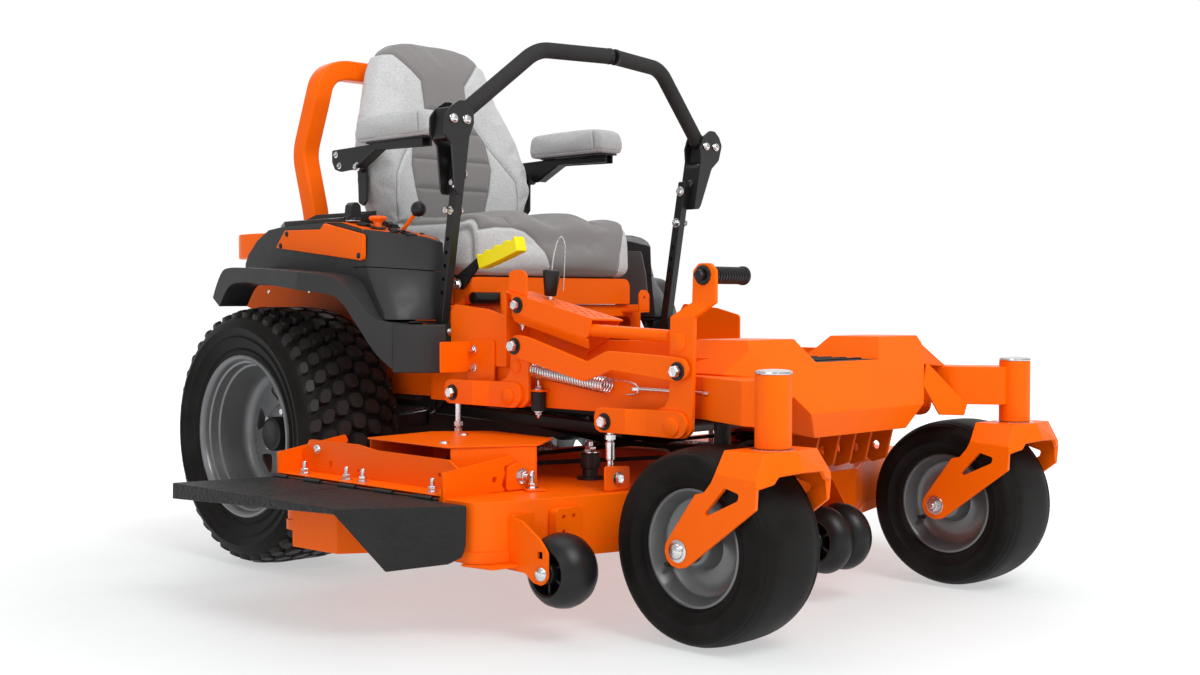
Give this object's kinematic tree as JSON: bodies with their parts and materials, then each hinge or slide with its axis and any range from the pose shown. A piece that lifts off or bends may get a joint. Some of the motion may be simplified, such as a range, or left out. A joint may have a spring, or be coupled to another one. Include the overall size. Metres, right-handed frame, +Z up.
{
  "type": "zero turn mower",
  "caption": "Ride-on zero turn mower with lap-bar steering, front casters, sprung seat, guard hoop and a raised side-discharge cutting deck.",
  "frame": {"origin": "on the ground under the middle of the overall footprint", "axes": "+Z up; the machine drives towards -Y; the operator's right, with the discharge chute, is -X"},
  "size_m": [1.518, 1.82, 1.19],
  "materials": {
    "orange_powder_coat": "gloss powder coat",
    "black_steel": "satin black powder coat",
    "charcoal_plastic": "fine grained moulded plastic",
    "black_plastic": "moulded plastic",
    "tyre_rubber": "matt rubber",
    "rim_paint": "grey paint",
    "seat_fabric": "woven fabric over foam",
    "foam_grip": "soft foam sleeve on steel tube",
    "flap_rubber": "textured rubber",
    "zinc_steel": "bright zinc",
    "cast_alloy": "cast",
    "blade_steel": "plain steel",
    "yellow_grip": "moulded grip",
    "orange_plastic": "moulded knob"
  },
  "bodies": {
    "chassis": {"frame_rail_right": "orange_powder_coat", "frame_rail_left": "orange_powder_coat", "front_crossmember": "orange_powder_coat", "floor_pan": "orange_powder_coat", "seat_tower": "orange_powder_coat", "rear_frame": "orange_powder_coat", "rear_bumper": "orange_powder_coat", "roll_hoop": "orange_powder_coat", "fender_right": "charcoal_plastic", "fender_left": "charcoal_plastic", "control_panel": "orange_powder_coat", "engine_block": "cast_alloy", "engine_shroud": "black_plastic", "muffler": "zinc_steel", "transaxle_right": "cast_alloy", "transaxle_left": "cast_alloy", "height_plate": "orange_powder_coat"},
    "deck": {"deck_shell": "orange_powder_coat", "belt_cover_right": "orange_powder_coat", "belt_cover_left": "orange_powder_coat", "chute_bracket": "orange_powder_coat", "hanger_front_right": "zinc_steel", "hanger_rear_right": "zinc_steel"},
    "chute": {"chute_flap": "flap_rubber"},
    "blade_right": {"blade_right": "blade_steel"},
    "blade_centre": {"blade_centre": "blade_steel"},
    "blade_left": {"blade_left": "blade_steel"},
    "scalp_right": {"scalp_wheel_right": "black_plastic"},
    "scalp_left": {"scalp_wheel_left": "black_plastic"},
    "scalp_centre": {"scalp_wheel_centre": "black_plastic"},
    "lift_front": {"lift_pedal": "orange_powder_coat"},
    "lift_rear": {"lift_rear_crank": "orange_powder_coat"},
    "lift_link": {"lift_link": "orange_powder_coat"},
    "seat": {"seat_platform": "orange_powder_coat", "seat_cushion": "seat_fabric", "seat_back": "seat_fabric"},
    "arm_right": {"armrest_right": "seat_fabric"},
    "arm_left": {"armrest_left": "seat_fabric"},
    "brake": {"brake_lever": "yellow_grip"},
    "throttle": {"throttle_lever": "black_plastic"},
    "pto": {"pto_knob": "orange_plastic"},
    "key": {"key_knob": "black_plastic"},
    "fuel_cap": {"fuel_cap": "black_plastic"},
    "height_pin": {"height_pin": "black_plastic"},
    "rear_wheel_right": {"rear_tyre_right": "tyre_rubber", "rear_rim_right": "rim_paint"},
    "caster_right": {"caster_fork_right": "orange_powder_coat"},
    "caster_wheel_right": {"caster_tyre_right": "tyre_rubber", "caster_rim_right": "rim_paint"},
    "lap_base_right": {"lap_pivot_right": "black_steel"},
    "lap_bar_right": {"lap_arm_right": "black_steel", "lap_handle_right": "foam_grip"},
    "rear_wheel_left": {"rear_tyre_left": "tyre_rubber", "rear_rim_left": "rim_paint"},
    "caster_left": {"caster_fork_left": "orange_powder_coat"},
    "caster_wheel_left": {"caster_tyre_left": "tyre_rubber", "caster_rim_left": "rim_paint"},
    "lap_base_left": {"lap_pivot_left": "black_steel"},
    "lap_bar_left": {"lap_arm_left": "black_steel", "lap_handle_left": "foam_grip"}
  },
  "joints": [
    {"name": "drive_wheel_right", "type": "hinge", "parent": "chassis", "child": "rear_wheel_right", "pos_m": [-0.331, 0.45, 0.278], "axis": [1, 0, 0], "continuous": true},
    {"name": "caster_swivel_right", "type": "hinge", "parent": "chassis", "child": "caster_right", "pos_m": [-0.282, -0.859, 0.39], "axis": [0, 0, 1], "continuous": true},
    {"name": "caster_roll_right", "type": "hinge", "parent": "caster_right", "child": "caster_wheel_right", "pos_m": [-0.282, -0.742, 0.165], "axis": [1, 0, 0], "continuous": true},
    {"name": "lap_drive_right", "type": "hinge", "parent": "chassis", "child": "lap_base_right", "pos_m": [-0.24, 0.029, 0.468], "axis": [1, 0, 0], "range_deg": [-5, 14], "stiffness_Nm_per_rad": 90},
    {"name": "lap_swing_right", "type": "hinge", "parent": "lap_base_right", "child": "lap_bar_right", "pos_m": [-0.24, 0.0292, 0.505], "axis": [0, -1, 0], "range_deg": [0, 35]},
    {"name": "drive_wheel_left", "type": "hinge", "parent": "chassis", "child": "rear_wheel_left", "pos_m": [0.529, 0.45, 0.278], "axis": [1, 0, 0], "continuous": true},
    {"name": "caster_swivel_left", "type": "hinge", "parent": "chassis", "child": "caster_left", "pos_m": [0.48, -0.859, 0.39], "axis": [0, 0, 1], "continuous": true},
    {"name": "caster_roll_left", "type": "hinge", "parent": "caster_left", "child": "caster_wheel_left", "pos_m": [0.48, -0.742, 0.165], "axis": [1, 0, 0], "continuous": true},
    {"name": "lap_drive_left", "type": "hinge", "parent": "chassis", "child": "lap_base_left", "pos_m": [0.438, 0.029, 0.468], "axis": [1, 0, 0], "range_deg": [-5, 14], "stiffness_Nm_per_rad": 90},
    {"name": "lap_swing_left", "type": "hinge", "parent": "lap_base_left", "child": "lap_bar_left", "pos_m": [0.438, 0.0292, 0.505], "axis": [0, 1, 0], "range_deg": [0, 35]},
    {"name": "seat_tilt", "type": "hinge", "parent": "chassis", "child": "seat", "pos_m": [0.099, 0.0495, 0.56], "axis": [1, 0, 0], "range_deg": [0, 26]},
    {"name": "armrest_fold_right", "type": "hinge", "parent": "seat", "child": "arm_right", "pos_m": [-0.166, 0.413, 0.869], "axis": [-1, 0, 0], "range_deg": [0, 80]},
    {"name": "armrest_fold_left", "type": "hinge", "parent": "seat", "child": "arm_left", "pos_m": [0.364, 0.413, 0.869], "axis": [-1, 0, 0], "range_deg": [0, 80]},
    {"name": "brake_pull", "type": "hinge", "parent": "chassis", "child": "brake", "pos_m": [-0.186, 0.032, 0.603], "axis": [-1, 0, 0], "range_deg": [0, 30]},
    {"name": "throttle_turn", "type": "hinge", "parent": "chassis", "child": "throttle", "pos_m": [-0.271, 0.116, 0.714], "axis": [1, 0, 0], "range_deg": [-18, 18]},
    {"name": "pto_pull", "type": "slide", "parent": "chassis", "child": "pto", "axis": [0, 0, 1], "range_m": [0, 0.012]},
    {"name": "key_turn", "type": "hinge", "parent": "chassis", "child": "key", "pos_m": [-0.311, 0.233, 0.734], "axis": [0, 0, 1], "range_deg": [0, 90]},
    {"name": "fuel_cap_turn", "type": "hinge", "parent": "chassis", "child": "fuel_cap", "pos_m": [0.479, 0.42, 0.7325], "axis": [0, 0, 1], "range_deg": [0, 120]},
    {"name": "height_pin_lift", "type": "slide", "parent": "chassis", "child": "height_pin", "axis": [0, -0.479, 0.8778], "range_m": [0, 0.045]},
    {"name": "deck_lift", "type": "slide", "parent": "chassis", "child": "deck", "axis": [0, 0, 1], "range_m": [-0.05, 0]},
    {"name": "lift_front_turn", "type": "hinge", "parent": "chassis", "child": "lift_front", "pos_m": [0.099, -0.639, 0.353], "axis": [1, 0, 0], "range_deg": [-20, 0]},
    {"name": "lift_rear_turn", "type": "hinge", "parent": "chassis", "child": "lift_rear", "pos_m": [0.099, -0.22, 0.387], "axis": [1, 0, 0], "range_deg": [-20, 0]},
    {"name": "lift_link_turn", "type": "hinge", "parent": "lift_front", "child": "lift_link", "pos_m": [-0.281, -0.656, 0.449], "axis": [1, 0, 0], "range_deg": [0, 20]},
    {"name": "chute_swing", "type": "hinge", "parent": "deck", "child": "chute", "pos_m": [-0.569, -0.1, 0.2305], "axis": [0, 1, 0], "range_deg": [0, 70]},
    {"name": "blade_centre_spin", "type": "hinge", "parent": "deck", "child": "blade_centre", "pos_m": [0.099, -0.35, 0.15], "axis": [0, 0, 1], "continuous": true},
    {"name": "blade_right_spin", "type": "hinge", "parent": "deck", "child": "blade_right", "pos_m": [-0.331, -0.17, 0.15], "axis": [0, 0, 1], "continuous": true},
    {"name": "blade_left_spin", "type": "hinge", "parent": "deck", "child": "blade_left", "pos_m": [0.529, -0.17, 0.15], "axis": [0, 0, 1], "continuous": true},
    {"name": "scalp_roll_right", "type": "hinge", "parent": "deck", "child": "scalp_right", "pos_m": [-0.471, -0.553, 0.1195], "axis": [1, 0, 0], "continuous": true},
    {"name": "scalp_roll_left", "type": "hinge", "parent": "deck", "child": "scalp_left", "pos_m": [0.669, -0.553, 0.1195], "axis": [1, 0, 0], "continuous": true},
    {"name": "scalp_roll_centre", "type": "hinge", "parent": "deck", "child": "scalp_centre", "pos_m": [0.139, -0.67, 0.1195], "axis": [1, 0, 0], "continuous": true}
  ],
  "couplings": [
    {"joint": "lift_front_turn", "follows": "deck_lift", "rad_per_m": 6.9},
    {"joint": "lift_rear_turn", "follows": "deck_lift", "rad_per_m": 6.9},
    {"joint": "lift_link_turn", "follows": "deck_lift", "rad_per_m": -6.9},
    {"joint": "blade_right_spin", "follows": "blade_centre_spin", "ratio": 1},
    {"joint": "blade_left_spin", "follows": "blade_centre_spin", "ratio": 1}
  ]
}
